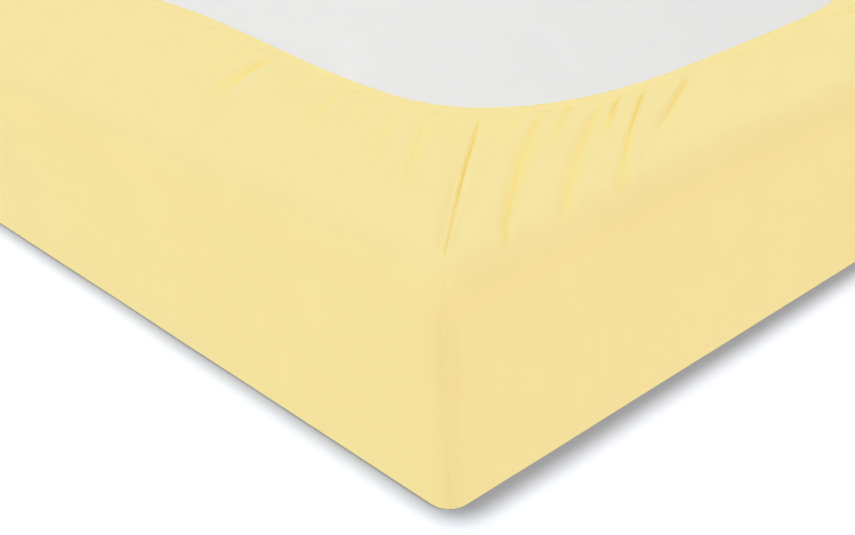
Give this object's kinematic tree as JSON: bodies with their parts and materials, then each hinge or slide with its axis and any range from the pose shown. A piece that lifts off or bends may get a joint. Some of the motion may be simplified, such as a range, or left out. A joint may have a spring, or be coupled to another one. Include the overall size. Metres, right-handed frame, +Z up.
{
  "type": "fitted sheet on a mattress",
  "caption": "Plain pale yellow fitted sheet stretched over a single mattress that lies face down, its elastic edge drawn in and puckered round the bare middle.",
  "frame": {"origin": "centre of the bottom, on the surface that the covered mattress lies on", "axes": "+X along the length, +Y across the width, +Z up; the picture's near corner is at +X and -Y"},
  "size_m": [2, 0.9, 0.1555],
  "materials": {
    "sheet_cloth": "pale yellow cotton cloth, matt, with a fine even weave",
    "mattress_ticking": "light grey mattress cover, matt and plain, with faint raised curves"
  },
  "bodies": {
    "root": {"fitted_sheet": "sheet_cloth", "mattress": "mattress_ticking"}
  },
  "joints": []
}
